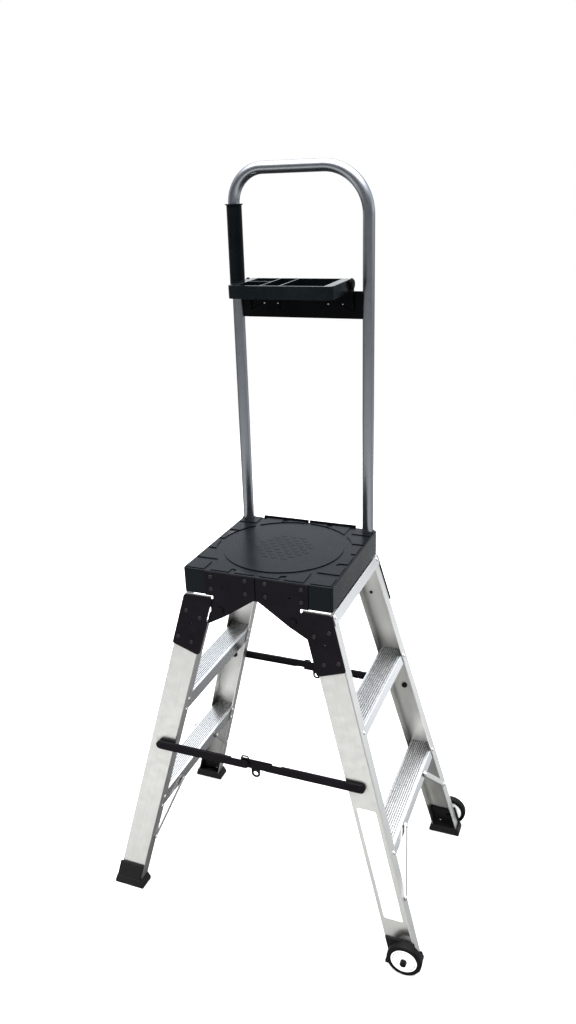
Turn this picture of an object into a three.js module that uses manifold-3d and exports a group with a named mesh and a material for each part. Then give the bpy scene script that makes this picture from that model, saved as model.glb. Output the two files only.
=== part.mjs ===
// Double-sided platform step ladder with a tall handrail, a folding tool tray and two wheels.
// Millimetres, +Z up, origin on the floor under the middle of the platform.
// +X is the way the right-hand leg frame spreads, +Y is towards the handrail.
import * as THREE from "three";
import { mergeVertices } from "three/addons/utils/BufferGeometryUtils.js";
import Module from "manifold-3d";

const wasm = await Module();
wasm.setup();

// ---- driving dimensions ----
const GAP = 0.3; // air left between touching pieces
const RUNNING = 0.06; // radial play of a pin in its hole
const ROUND = 24; // sides of a turning pin and its hole

const DECK_X = 340; // platform, along the spread
const DECK_Y = 328;
const DECK_TOP = 870;
const SKIRT_BOTTOM = 810.5;
const DECK_THICK = 6;
const SKIRT_THICK = 3.6;

const STILE_WIDTH = 63.5; // width of a stile on a level cut
const STILE_DEPTH = 30;
const STILE_WALL = 2;
const STILE_TOP = 806;
const STILE_FOOT = 20.3;
const STILE_X = 136.25; // middle of the stile's web at its top
const STILE_Y = 166; // outer face of the web at its top
const LEAN_X = 0.272; // outward lean per mm of drop, along the spread
const LEAN_Y = 0.0875; // outward lean per mm of drop, across it
const FLANGE_CUT = 743; // above this the inner flange is cut away for the gusset plate
const RELIEF = [757, 797]; // the web's inner edge is notched here to pass the gusset plate
const CAP_TOP = 805.5;

const PIVOT = { x: 84, z: 778 }; // leg fold axis
const PIN_R = 5;
const GUSSET_FACE = 164.3;
const GUSSET_THICK = 2.5;

const TREADS = [
  { name: "lower", top: 272 },
  { name: "upper", top: 548 },
];
const TREAD_HALF = 29.2;
const TREAD_SHEET = 2.4;
const OUTER_SKIRT = 22;
const INNER_SKIRT = 46;

const WHEEL = { x: 358, r: 39.5, inner: 244.4, outer: 263.9, disc: 29.2 };

const HAND_X = 152; // handrail posts
const HAND_Y = 148.6;
const HAND_R = 12.7;
const HAND_BORE = 11.2;
const HAND_TOP = 1667.5;
const HAND_BOTTOM = 818;
const BEND_RIGHT = 98;
const BEND_LEFT = 70;

const CROSSBAR = { z: [1358, 1416], y: [145.5, 151.5] };
const TRAY = { x: 116.5, y: [14.7, 141.6], z: [1415.5, 1442.5], rim: 20 };
const TRAY_PIVOT = { y: 133, z: 1432, r: 4 };
const TRAY_DROOP = 1.6; // degrees that the open tray's front hangs below its pivot
const TRAY_WALL = 3;
const TRAY_DIVIDERS = [-42, 0]; // middles of the walls between its pockets
const TRAY_CROSS_WALL = 86;

// Each spreader: height and spread of its leg pivots, and the side it is on.
const SPREADERS = [
  { side: "front", sy: 1, x: 241.9, z: 424 },
  { side: "back", sy: -1, x: 236.5, z: 441 },
];
const MID_PIN = 26;
const BAR_HALF = 10;

// ---- materials ----
const finish = (color, metalness, roughness) =>
  new THREE.MeshStandardMaterial({ color, metalness, roughness });
const aluminium = finish(0xd7d7d0, 0.9, 0.4);
const blackSteel = finish(0x1c1a20, 0.2, 0.5);
const moulded = finish(0x464b52, 0, 0.5);
const rubber = finish(0x161616, 0, 0.8);
const white = finish(0xf0f0ee, 0, 0.4);

// ---- solids ----
function solid(geometry) {
  const bare = geometry.clone();
  bare.deleteAttribute("normal");
  bare.deleteAttribute("uv");
  const merged = mergeVertices(bare, 1e-4);
  return new wasm.Manifold(
    new wasm.Mesh({
      numProp: 3,
      vertProperties: merged.attributes.position.array,
      triVerts: new Uint32Array(merged.index.array),
    }),
  );
}

function geometryOf(body) {
  const mesh = body.getMesh();
  const geometry = new THREE.BufferGeometry();
  geometry.setAttribute("position", new THREE.BufferAttribute(mesh.vertProperties, 3));
  geometry.setIndex(new THREE.BufferAttribute(mesh.triVerts, 1));
  return geometry;
}

const moved = (body, matrix) => solid(geometryOf(body).applyMatrix4(matrix));

// Slides everything outwards below the stile's top, along X and, for ky above 0, along -Y.
function leanMatrix(ky) {
  return new THREE.Matrix4().set(
    1, 0, -LEAN_X, LEAN_X * STILE_TOP,
    0, 1, ky, -ky * STILE_TOP,
    0, 0, 1, 0,
    0, 0, 0, 1,
  );
}
const leaned = (body) => moved(body, leanMatrix(LEAN_Y));
const spread = (body) => moved(body, leanMatrix(0));

function block([x0, x1], [y0, y1], [z0, z1]) {
  const box = new THREE.BoxGeometry(x1 - x0, y1 - y0, z1 - z0);
  return solid(box.translate((x0 + x1) / 2, (y0 + y1) / 2, (z0 + z1) / 2));
}

// Which way a flat outline's two directions and its thickness point, for each thickness axis.
const V = (x, y, z) => new THREE.Vector3(x, y, z);
const BASES = {
  x: new THREE.Matrix4().makeBasis(V(0, 1, 0), V(0, 0, 1), V(1, 0, 0)),
  y: new THREE.Matrix4().makeBasis(V(1, 0, 0), V(0, 0, 1), V(0, -1, 0)),
  z: new THREE.Matrix4(),
};

// A flat outline given thickness from lo to hi along an axis.
function slab(axis, outline, lo, hi) {
  const shape = new THREE.Shape(outline.map(([a, b]) => new THREE.Vector2(a, b)));
  const geometry = new THREE.ExtrudeGeometry(shape, { depth: hi - lo, bevelEnabled: false });
  geometry.applyMatrix4(BASES[axis]);
  const shift = { x: [lo, 0, 0], y: [0, hi, 0], z: [0, 0, lo] }[axis];
  return solid(geometry.translate(...shift));
}

// A round bar along an axis; at gives its other two coordinates, in X, Y, Z order.
function rod(axis, radius, lo, hi, at, sides = 16, endRadius = radius) {
  const geometry = new THREE.CylinderGeometry(endRadius, radius, hi - lo, sides);
  const middle = (lo + hi) / 2;
  if (axis === "x") geometry.rotateZ(-Math.PI / 2).translate(middle, at[0], at[1]);
  if (axis === "y") geometry.translate(at[0], middle, at[1]);
  if (axis === "z") geometry.rotateX(Math.PI / 2).translate(at[0], at[1], middle);
  return solid(geometry);
}

const union = (bodies) => bodies.reduce((all, next) => all.add(next));

function arc(a, b, radius, from, to, steps) {
  return Array.from({ length: steps + 1 }, (_, i) => {
    const t = ((from + ((to - from) * i) / steps) * Math.PI) / 180;
    return [a + radius * Math.cos(t), b + radius * Math.sin(t)];
  });
}

function roundedRectangle([a0, a1], [b0, b1], radius, steps) {
  return [
    ...arc(a1 - radius, b0 + radius, radius, -90, 0, steps),
    ...arc(a1 - radius, b1 - radius, radius, 0, 90, steps),
    ...arc(a0 + radius, b1 - radius, radius, 90, 180, steps),
    ...arc(a0 + radius, b0 + radius, radius, 180, 270, steps),
  ];
}

// A strip with round ends between two points.
function strip([a0, b0], [a1, b1], radius, steps) {
  const turn = (Math.atan2(b1 - b0, a1 - a0) * 180) / Math.PI;
  return [
    ...arc(a0, b0, radius, turn + 90, turn + 270, steps),
    ...arc(a1, b1, radius, turn - 90, turn + 90, steps),
  ];
}

// A block whose top is smaller than its base.
function taper(base, top, z0, z1) {
  const box = new THREE.BoxGeometry(1, 1, 1);
  const p = box.attributes.position;
  for (let i = 0; i < p.count; i++) {
    const [[x0, x1], [y0, y1]] = p.getZ(i) > 0 ? top : base;
    p.setXYZ(i, p.getX(i) > 0 ? x1 : x0, p.getY(i) > 0 ? y1 : y0, p.getZ(i) > 0 ? z1 : z0);
  }
  return solid(box);
}

const root = new THREE.Group();
root.name = "platform_step_ladder";

// Adds a piece; sx and sy of -1 place it on the left and at the back.
function add(name, body, material, sx = 1, sy = 1) {
  const mesh = new THREE.Mesh(geometryOf(body), material);
  mesh.name = name;
  mesh.scale.set(sx, sy, 1);
  root.add(mesh);
}

const CORNERS = [
  { name: "front_right", sx: 1, sy: 1 },
  { name: "front_left", sx: -1, sy: 1 },
  { name: "back_right", sx: 1, sy: -1 },
  { name: "back_left", sx: -1, sy: -1 },
];
const SIDES = [
  { name: "right", sx: 1 },
  { name: "left", sx: -1 },
];

// ---- platform ----
// A moulded deck with a skirt, stiffening ribs below and a socket for each handrail post.
function platform() {
  const half = [DECK_X / 2, DECK_Y / 2];
  const outline = (inset, radius) =>
    roundedRectangle(
      [-half[0] + inset, half[0] - inset],
      [-half[1] + inset, half[1] - inset],
      radius,
      4,
    );
  const under = DECK_TOP - DECK_THICK;
  let body = union([
    slab("z", outline(0, 7), SKIRT_BOTTOM, DECK_TOP - 2.5),
    slab("z", outline(2, 5), DECK_TOP - 3.5, DECK_TOP),
  ]);
  body = body.subtract(slab("z", outline(SKIRT_THICK, 4), SKIRT_BOTTOM - 1, under));
  for (const at of [-84, 0, 84]) {
    body = body.add(block([at - 1.5, at + 1.5], [-half[1] + 1, half[1] - 1], [832, under + 1]));
    body = body.add(block([-half[0] + 1, half[0] - 1], [at - 1.5, at + 1.5], [832, under + 1]));
  }
  for (const x of [-HAND_X, HAND_X]) {
    body = body.add(rod("z", HAND_R + 2.5, SKIRT_BOTTOM + 2, under + 1, [x, HAND_Y], 24));
  }
  for (const x of [-HAND_X, HAND_X]) {
    body = body.subtract(
      rod("z", HAND_R + GAP, SKIRT_BOTTOM - 1, DECK_TOP + 1, [x, HAND_Y], 24),
    );
  }
  return body;
}
add("platform", platform(), moulded);

// ---- gusset plates and fold bolts ----
// A flat steel plate riveted to the skirt; its lower corner carries the fold bolt.
function gusset(top) {
  const face = -GUSSET_FACE;
  const outline = [
    [1.5, top],
    [118, top],
    [118, SKIRT_BOTTOM],
    [100, SKIRT_BOTTOM],
    [100, 803],
    [102.2, 800],
    [107, 782],
    [107, 773.5],
    [111.5, 768],
    [117, 746],
    [115.5, 741],
    [75, 764],
    [1.5, 815],
  ];
  let plate = slab("y", outline, face - GUSSET_THICK, face);
  plate = plate.subtract(rod("y", 2, face - 5, face + 1, [77.5, 832], 12));
  return plate.subtract(
    rod("y", PIN_R + GAP, face - 5, face + 1, [PIVOT.x, PIVOT.z], ROUND),
  );
}

function foldBolt() {
  const face = -GUSSET_FACE - GUSSET_THICK - GAP;
  return union([
    rod("y", PIN_R, face - 0.5, -155, [PIVOT.x, PIVOT.z], ROUND),
    rod("y", 7.6, face - 3.6, face, [PIVOT.x, PIVOT.z], 20, 8.2),
    rod("y", 8, -160.2, -155, [PIVOT.x, PIVOT.z], 6),
  ]);
}

for (const { name, sx, sy } of CORNERS) {
  add("gusset_plate_" + name, gusset(sy > 0 ? 866 : 873), blackSteel, sx, sy);
  add("fold_bolt_" + name, foldBolt(), blackSteel, sx, sy);
}

// ---- stiles ----
const STILE_EDGE = STILE_WIDTH / 2;

// A channel with its web outwards, leaning out both ways, cut level at both ends.
function stile(spreader, hasWheel) {
  const e = STILE_EDGE;
  const w = STILE_WALL;
  const c = 2;
  const outline = [
    [-e + c, 0],
    [e - c, 0],
    [e, c],
    [e, STILE_DEPTH],
    [e - w, STILE_DEPTH],
    [e - w, w],
    [-e + w, w],
    [-e + w, STILE_DEPTH],
    [-e, STILE_DEPTH],
    [-e, c],
  ].map(([x, y]) => [x + STILE_X, y - STILE_Y]);
  let body = slab("z", outline, STILE_FOOT, STILE_TOP + 2);
  const flange = block(
    [STILE_X - e - 1, STILE_X - e + w + 0.01],
    [-STILE_Y + w, -STILE_Y + STILE_DEPTH + 1],
    [FLANGE_CUT, STILE_TOP + 3],
  );
  const notch = block(
    [STILE_X - e - 1, STILE_X - e + 8],
    [-STILE_Y - 1, -STILE_Y + STILE_DEPTH],
    RELIEF,
  );
  body = leaned(body.subtract(flange).subtract(notch));
  const hole = rod("y", 4 + RUNNING, -220, -180, [spreader.x, spreader.z], ROUND);
  body = body.subtract(hole);
  if (!hasWheel) return body;
  return body.subtract(rod("y", PIN_R + GAP, -250, -220, [WHEEL.x, WHEEL.r], ROUND));
}

// Folded black bracket on the stile's top: face plate, a return over the inner edge,
// and an ear that steps back behind the gusset plate to the fold bolt.
function cap() {
  const x0 = STILE_X - 34.85;
  const plate = slab(
    "y",
    [
      [x0 + 4, CAP_TOP],
      [x0, CAP_TOP - 4],
      ...arc(x0 + 5, 671.5, 5, 180, 260, 3),
      ...arc(STILE_X + 28.8, 689.7, 5, 280, 360, 3),
      ...arc(STILE_X + 28.8, CAP_TOP - 5, 5, 0, 90, 3),
    ],
    -STILE_Y - GAP - 2.8,
    -STILE_Y - GAP,
  );
  const lowerReturn = block([x0, x0 + 2.8], [-STILE_Y - 1, -STILE_Y + 9], [666.5, 742]);
  const face = leaned(plate.add(lowerReturn));
  const earBack = -160.7;
  const earFront = -GUSSET_FACE + 0.6;
  const upperReturn = spread(block([x0, x0 + 2.8], [-169.4, earBack], [782, 800]));
  const ear = slab(
    "y",
    [
      ...arc(PIVOT.x, PIVOT.z, 12, 70, 300, 10),
      [x0 + LEAN_X * (STILE_TOP - 782), 782],
      [x0 + 2.8 + LEAN_X * (STILE_TOP - 782), 782],
      [x0 + 2.8 + LEAN_X * (STILE_TOP - 800), 800],
      [x0 + LEAN_X * (STILE_TOP - 800), 800],
    ],
    earFront,
    earBack,
  );
  let body = union([face, upperReturn, ear]);
  body = body.subtract(rod("y", PIN_R + RUNNING, -170, -158, [PIVOT.x, PIVOT.z], ROUND));
  body = body.subtract(rod("y", 2.6, -190, -160, [155.1, 738.5], 12));
  return body;
}

// Rubber boot: a flared pad under the stile, with a tongue outside the web and one inside.
function foot(hasWheel) {
  const pad = [[311.5, 390.5], [-243.5, -202.5]];
  const mid = [[313, 389], [-242.5, -203.5]];
  const shelf = [[316.5, 386.5], [-240.6, -204.8]];
  const outerTongue = leaned(
    block([STILE_X - 30, STILE_X + 35.6], [-STILE_Y - 4.3, -STILE_Y - GAP], [17, 65]),
  );
  const innerTongue = leaned(
    block([STILE_X - 29, STILE_X + 29], [-STILE_Y + 2.3, -STILE_Y + 6.3], [17, 60]),
  );
  const body = union([
    taper(pad, pad, 0, 7),
    taper(pad, mid, 7, 11),
    taper(mid, shelf, 11, 20),
    outerTongue,
    innerTongue,
  ]);
  if (!hasWheel) return body;
  return body.subtract(rod("y", PIN_R + GAP, -250, -215, [WHEEL.x, WHEEL.r], ROUND));
}

for (const { name, sx, sy } of CORNERS) {
  const spreader = SPREADERS.find((s) => s.sy === sy);
  add("stile_" + name, stile(spreader, sx > 0), aluminium, sx, sy);
  add("stile_cap_" + name, cap(), blackSteel, sx, sy);
  add("foot_" + name, foot(sx > 0), rubber, sx, sy);
}

// ---- treads, top rails and braces ----
const webInside = (z) => STILE_Y - STILE_WALL + LEAN_Y * (STILE_TOP - z);

// A ribbed top with a short skirt outside and a deep one inside, both leaning with the stile.
function tread(top) {
  const h = TREAD_HALF;
  const s = TREAD_SHEET;
  const ribs = [];
  for (let i = 4; i >= -4; i--) {
    const x = i * 6;
    ribs.push([x + 1.9, top - 1], [x + 1.3, top], [x - 1.3, top], [x - 1.9, top - 1]);
  }
  const outline = [
    [h, top - 1],
    ...ribs,
    [-h, top - 1],
    [-h, top - INNER_SKIRT],
    [-h + s, top - INNER_SKIRT],
    [-h + s, top - 1 - s],
    [h - s, top - 1 - s],
    [h - s, top - OUTER_SKIRT],
    [h, top - OUTER_SKIRT],
  ].map(([x, z]) => [x + STILE_X, z]);
  const reach = webInside(top) - GAP;
  return spread(slab("y", outline, -reach, reach));
}

// An angle along the tops of one frame's two stiles, riveted to their outer flanges.
function topRail() {
  const x = STILE_X + STILE_EDGE + GAP;
  const leg = block([x, x + 2.5], [-163.5, 163.5], [782, STILE_TOP]);
  const shelf = block([x - 34, x + 1], [-133, 133], [STILE_TOP - 2.5, STILE_TOP]);
  return spread(leg.add(shelf));
}

// A flat strap from the lowest tread's skirt down to the stile's flange.
function brace(outside) {
  const top = outside ? [-97, 262] : [-96, 242];
  const bottom = outside ? [-203, 160] : [-203.5, 141];
  const face = STILE_EDGE + GAP;
  const outline = strip(top, bottom, 6.5, 6);
  const x = outside ? [STILE_X + face, STILE_X + face + 3] : [STILE_X - face - 3, STILE_X - face];
  const gap = outside ? [STILE_X + TREAD_HALF + GAP, x[0] + 1] : [x[1] - 1, STILE_X - TREAD_HALF - GAP];
  return spread(slab("x", outline, ...x).add(rod("x", 4, ...gap, top, 12)));
}

for (const { name, sx } of SIDES) {
  add("top_rail_" + name, topRail(), aluminium, sx);
  for (const { name: level, top } of TREADS) {
    add("tread_" + level + "_" + name, tread(top), aluminium, sx);
  }
}
for (const { name, sx, sy } of CORNERS) {
  add("brace_outer_" + name, brace(true), aluminium, sx, sy);
  add("brace_inner_" + name, brace(false), aluminium, sx, sy);
}

// ---- wheels on the two right-hand stiles ----
function tyre() {
  const at = [WHEEL.x, WHEEL.r];
  const { r, inner, outer, disc } = WHEEL;
  const body = union([
    rod("y", r - 3, -outer, -outer + 3, at, ROUND, r),
    rod("y", r, -outer + 3, -inner - 3, at, ROUND),
    rod("y", r, -inner - 3, -inner, at, ROUND, r - 3),
  ]);
  return body.subtract(rod("y", disc + GAP, -outer - 1, -inner + 1, at, ROUND));
}

function disc() {
  const at = [WHEEL.x, WHEEL.r];
  const face = -WHEEL.outer + 1.2;
  let body = rod("y", WHEEL.disc, face, -WHEEL.inner - 1.2, at, ROUND);
  const groove = rod("y", 26.3, face - 1, face + 0.8, at, ROUND).subtract(
    rod("y", 25, face - 2, face + 2, at, ROUND),
  );
  body = body.subtract(groove);
  return body.subtract(rod("y", PIN_R + RUNNING, face - 1, -WHEEL.inner + 1, at, ROUND));
}

function axle() {
  const at = [WHEEL.x, WHEEL.r];
  return union([
    rod("y", PIN_R, -WHEEL.outer, -221, at, ROUND),
    rod("y", 7.3, -WHEEL.outer - 7.6, -WHEEL.outer + 0.9, at, 24),
    rod("y", 5.8, -WHEEL.outer - 9, -WHEEL.outer - 7.6, at, 24, 7.3),
    rod("y", 8.5, -WHEEL.inner + GAP, -238.6, at, 20),
    rod("y", 8, -226, -221, at, 6),
  ]);
}

for (const { side, sy } of SPREADERS) {
  add("wheel_tyre_" + side, tyre(), rubber, 1, sy);
  add("wheel_disc_" + side, disc(), white, 1, sy);
  add("wheel_axle_" + side, axle(), blackSteel, 1, sy);
}

// ---- folding spreaders ----
// Depths in front of the web: the joining plate is innermost, then the right bar, then the left.
const PLATE_Y = [-204.2, -201.8];
const BAR_Y = { right: [-207.6, -204.6], left: [-211.2, -208.2] };
const RIM_Y = { right: -201.4, left: -204.8 };

// A bar with folded rims, flat near its mid pin; a rivet fused to it turns in the stile's web.
function bar(side, { x: pivotX, z }) {
  const [face, back] = BAR_Y[side];
  const flat = slab("y", strip([MID_PIN, z], [pivotX, z], BAR_HALF, 8), face, back);
  const rimmed = slab(
    "y",
    [
      [MID_PIN + 34, z - BAR_HALF],
      ...arc(pivotX, z, BAR_HALF, -90, 90, 8),
      [MID_PIN + 34, z + BAR_HALF],
    ],
    face,
    RIM_Y[side],
  );
  const pocket = slab(
    "y",
    [
      [MID_PIN + 33, z - BAR_HALF + 1.6],
      [pivotX - 8, z - BAR_HALF + 1.6],
      [pivotX - 8, z + BAR_HALF - 1.6],
      [MID_PIN + 33, z + BAR_HALF - 1.6],
    ],
    back,
    RIM_Y[side] + 1,
  );
  const web = -webInside(z) + 0.9;
  let body = union([
    flat,
    rimmed.subtract(pocket),
    rod("y", 4, face, web + 2.5, [pivotX, z], ROUND),
    rod("y", 6.5, web, web + 2.6, [pivotX, z], 20),
    rod("y", 3.2, face - 1.6, face + 0.5, [pivotX, z], 20, 5.2),
  ]);
  if (side === "left") {
    return body.add(rod("y", 3.2, face - 1.6, face + 0.5, [MID_PIN, z], 20, 5.2));
  }
  return body.subtract(rod("y", 4 + RUNNING, face - 1, back + 1, [MID_PIN, z], ROUND));
}

// The joining plate, with a finger ring below, a lifting tab above and the right bar's pin.
function joiningPlate({ z }) {
  const outline = [
    [-38, z - 12],
    [-13, z - 12],
    ...arc(-2.5, z - 23, 10.5, 180, 360, 10),
    [8, z - 12],
    [38, z - 12],
    [38, z + 12],
    [-17, z + 12],
    [-20, z + 18.5],
    [-34, z + 18.5],
    [-38, z + 12],
  ];
  let body = slab("y", outline, ...PLATE_Y);
  body = body.subtract(rod("y", 5.6, -210, -200, [-2.5, z - 23], 20));
  body = body.subtract(block([-33, -21], [-210, -200], [z + 12.5, z + 15.5]));
  return body.add(rod("y", 4, -207.9, PLATE_Y[1], [MID_PIN, z], ROUND));
}

for (const spreader of SPREADERS) {
  const { side, sy } = spreader;
  add("spreader_bar_" + side + "_right", bar("right", spreader), blackSteel, 1, sy);
  add("spreader_bar_" + side + "_left", bar("left", spreader), blackSteel, -1, sy);
  add("spreader_plate_" + side, joiningPlate(spreader), blackSteel, 1, sy);
}

// ---- handrail ----
// A round bar swept along a bent line in the handrail's plane; ends run past by over.
function sweep(radius, over) {
  const stations = [];
  const put = (x, z, turn) => stations.push({ x, z, turn });
  put(-HAND_X, HAND_BOTTOM - over, 180);
  const bends = [
    { x: -HAND_X + BEND_LEFT, r: BEND_LEFT, from: 180, to: 90 },
    { x: HAND_X - BEND_RIGHT, r: BEND_RIGHT, from: 90, to: 0 },
  ];
  for (const { x, r, from, to } of bends) {
    for (let i = 0; i <= 8; i++) {
      const turn = from + ((to - from) * i) / 8;
      const t = (turn * Math.PI) / 180;
      put(x + r * Math.cos(t), HAND_TOP - r + r * Math.sin(t), turn);
    }
  }
  put(HAND_X, HAND_BOTTOM - over, 0);
  const sides = 16;
  const points = [];
  for (const { x, z, turn } of stations) {
    const t = (turn * Math.PI) / 180;
    for (let k = 0; k < sides; k++) {
      const a = (2 * Math.PI * k) / sides;
      const out = radius * Math.cos(a);
      points.push(x + out * Math.cos(t), HAND_Y + radius * Math.sin(a), z + out * Math.sin(t));
    }
  }
  const faces = [];
  const last = (stations.length - 1) * sides;
  for (let i = 0; i < stations.length - 1; i++) {
    for (let k = 0; k < sides; k++) {
      const a = i * sides + k;
      const b = i * sides + ((k + 1) % sides);
      faces.push(a, b + sides, b, a, a + sides, b + sides);
    }
  }
  for (let k = 1; k < sides - 1; k++) {
    faces.push(0, k, k + 1, last, last + k + 1, last + k);
  }
  const geometry = new THREE.BufferGeometry();
  geometry.setAttribute("position", new THREE.Float32BufferAttribute(points, 3));
  geometry.setIndex(faces);
  return solid(geometry);
}
add("handrail", sweep(HAND_R, 0).subtract(sweep(HAND_BORE, 1)), aluminium);

function grip() {
  const at = [-HAND_X, HAND_Y];
  const body = union([
    rod("z", 16.7, 1425, 1597, at, 24),
    rod("z", 20, 1594.2, 1597, at, 24),
    rod("z", 20, 1425, 1428, at, 24),
  ]);
  return body.subtract(rod("z", HAND_R + GAP, 1420, 1600, at, 24));
}
add("handrail_grip", grip(), rubber);

// ---- crossbar, tray brackets and tray ----
function crossbar() {
  const end = HAND_X - HAND_R - GAP;
  return block([-end, end], CROSSBAR.y, CROSSBAR.z);
}
add("handrail_crossbar", crossbar(), blackSteel);

// An angle screwed to the crossbar, whose ear holds the tray's pivot pin.
function trayBracket() {
  const { y, z, r } = TRAY_PIVOT;
  const earX = TRAY.x + 1;
  const back = CROSSBAR.y[0] - GAP;
  const plate = block([50, earX + 3.5], [back - 2.3, back], [1374, 1411]);
  const ear = slab(
    "x",
    [
      ...arc(y, z, 12.5, 0, 230, 12),
      [y + 1, 1400],
      [back - 6, 1376],
      [back, 1374],
      [back, 1416],
    ],
    earX,
    earX + 3.5,
  );
  return union([
    plate,
    ear,
    rod("x", r, earX - 5, earX + 4, [y, z], ROUND),
    rod("x", 11.5, earX + 3, earX + 6.5, [y, z], 20, 9.6),
  ]);
}
for (const { name, sx } of SIDES) {
  add("tray_bracket_" + name, trayBracket(), blackSteel, sx);
}

// A shallow tray with broad side rims, two dividers and a cross wall in the left-hand part.
// It is drawn level and then turned down about its pivot by the little that it droops.
function tray() {
  const { x, y, z, rim } = TRAY;
  let body = slab("z", roundedRectangle([-x, x], y, 13, 5), ...z);
  const floor = z[0] + 2.5;
  const half = TRAY_WALL / 2;
  const front = y[0] + 5;
  const back = y[1] - 4;
  const pocket = (x0, x1, y0, y1) => {
    body = body.subtract(block([x0, x1], [y0, y1], [floor, z[1] + 1]));
  };
  const [left, right] = TRAY_DIVIDERS;
  pocket(-x + rim, left - half, front, TRAY_CROSS_WALL - half);
  pocket(-x + rim, left - half, TRAY_CROSS_WALL + half, back);
  pocket(left + half, right - half, front, back);
  pocket(right + half, x - rim, front, back);
  for (const s of [-1, 1]) {
    const sides = [s * (x - 3), s * (x - rim + 2.5)].sort((a, b) => a - b);
    body = body.subtract(block(sides, [y[0] + 14, y[1] - 14], [z[0] - 1, z[1] - 2.5]));
  }
  const { y: py, z: pz, r } = TRAY_PIVOT;
  const droop = new THREE.Matrix4()
    .makeTranslation(0, py, pz)
    .multiply(new THREE.Matrix4().makeRotationX(THREE.MathUtils.degToRad(TRAY_DROOP)))
    .multiply(new THREE.Matrix4().makeTranslation(0, -py, -pz));
  body = moved(body, droop);
  for (const s of [-1, 1]) {
    const ends = [s * (x + 1), s * (x - 6)].sort((a, b) => a - b);
    body = body.subtract(rod("x", r + RUNNING, ...ends, [py, pz], ROUND));
  }
  return body;
}
add("tool_tray", tray(), blackSteel);

export default root;
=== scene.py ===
"""Looks of the folding platform step ladder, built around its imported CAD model.

Metres, +Z up, the CAD model's own frame: +X towards the wheels' leg frame, -Y the front,
+Y the side of the platform that carries the handrail.
"""

import math

import bmesh
import bpy
from mathutils import Matrix, Vector


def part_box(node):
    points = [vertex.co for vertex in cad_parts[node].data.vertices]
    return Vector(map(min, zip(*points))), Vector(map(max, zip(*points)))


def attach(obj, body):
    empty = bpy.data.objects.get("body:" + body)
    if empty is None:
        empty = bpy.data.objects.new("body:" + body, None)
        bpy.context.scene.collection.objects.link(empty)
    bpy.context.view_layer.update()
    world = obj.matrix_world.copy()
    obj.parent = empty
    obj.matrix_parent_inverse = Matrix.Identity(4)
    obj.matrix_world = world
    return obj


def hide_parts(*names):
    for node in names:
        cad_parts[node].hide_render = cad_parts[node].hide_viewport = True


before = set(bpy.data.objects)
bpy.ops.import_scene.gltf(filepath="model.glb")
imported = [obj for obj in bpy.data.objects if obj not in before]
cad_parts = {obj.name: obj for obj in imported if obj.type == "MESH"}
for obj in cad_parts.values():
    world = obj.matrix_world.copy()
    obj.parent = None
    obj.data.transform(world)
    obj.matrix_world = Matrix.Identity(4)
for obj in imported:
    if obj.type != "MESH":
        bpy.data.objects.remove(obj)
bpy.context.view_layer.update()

MM = 0.001
TOP_BODY = "platform_and_handrail"
LEG_BODY = {1: "right_leg_frame", -1: "left_leg_frame"}
SIDE_NAME = {1: "right", -1: "left"}
END_NAME = {-1: "front", 1: "back"}
CORNERS = [(sx, sy) for sy in (-1, 1) for sx in (1, -1)]

# ---- the leg frames' lean, read from the frame ----
_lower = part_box("tread_lower_right")
_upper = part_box("tread_upper_right")
_drop = _upper[1].z - _lower[1].z
LEAN_X = (_lower[1].x - _upper[1].x) / _drop
LEAN_Y = (_lower[1].y - _upper[1].y) / _drop
STILE_HALF = 31.75 * MM
STILE_WALL = 2 * MM
STILE_LO, STILE_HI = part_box("stile_front_right")


def stile_x(z):
    """Middle of a right-hand stile's web at height z."""
    return STILE_HI.x - STILE_HALF - LEAN_X * (z - STILE_LO.z)


def web_y(z):
    """How far out of the middle plane the outer face of a stile's web is at height z."""
    return -STILE_LO.y - LEAN_Y * (z - STILE_LO.z)


# ---- node materials ----
def node(tree, kind, inputs=None, **settings):
    """A shader node with its settings made and its inputs filled or linked."""
    made = tree.nodes.new(kind)
    for name, value in settings.items():
        setattr(made, name, value)
    for name, value in (inputs or {}).items():
        socket = made.inputs[name]
        if isinstance(value, bpy.types.NodeSocket):
            tree.links.new(value, socket)
        else:
            socket.default_value = value
    return made


def math_node(tree, operation, a, b=0.0):
    return node(tree, "ShaderNodeMath", {0: a, 1: b}, operation=operation).outputs[0]


def noise(tree, vector, scale, detail=3.0, roughness=0.5):
    made = node(
        tree,
        "ShaderNodeTexNoise",
        {"Vector": vector, "Scale": scale, "Detail": detail, "Roughness": roughness},
    )
    return made.outputs["Fac"]


def ramp(tree, value, low, high, at=(0.3, 0.7)):
    """Maps value between two stops to a colour or a grey between low and high."""
    made = node(tree, "ShaderNodeValToRGB", {"Fac": value})
    for element, position, tone in zip(made.color_ramp.elements, at, (low, high)):
        element.position = position
        element.color = (tone, tone, tone, 1) if isinstance(tone, float) else (*tone, 1)
    return made.outputs["Color"]


def graded(tree, value, stops):
    """A colour read off a list of (place, colour) stops."""
    made = node(tree, "ShaderNodeValToRGB", {"Fac": value})
    elements = made.color_ramp.elements
    while len(elements) < len(stops):
        elements.new(0.5)
    for element, (position, tone) in zip(elements, stops):
        element.position = position
        element.color = (*tone, 1)
    return made.outputs["Color"]


def mixed(tree, factor, a, b):
    """Colour a turned towards colour b by factor."""
    made = node(tree, "ShaderNodeMix", data_type="RGBA")
    for socket, value in ((made.inputs[0], factor), (made.inputs[6], a), (made.inputs[7], b)):
        if isinstance(value, bpy.types.NodeSocket):
            tree.links.new(value, socket)
        elif isinstance(value, tuple):
            socket.default_value = (*value, 1)
        else:
            socket.default_value = value
    return made.outputs[2]


def bump(tree, height, depth, strength):
    inputs = {"Height": height, "Distance": depth, "Strength": strength}
    return node(tree, "ShaderNodeBump", inputs).outputs["Normal"]


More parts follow.
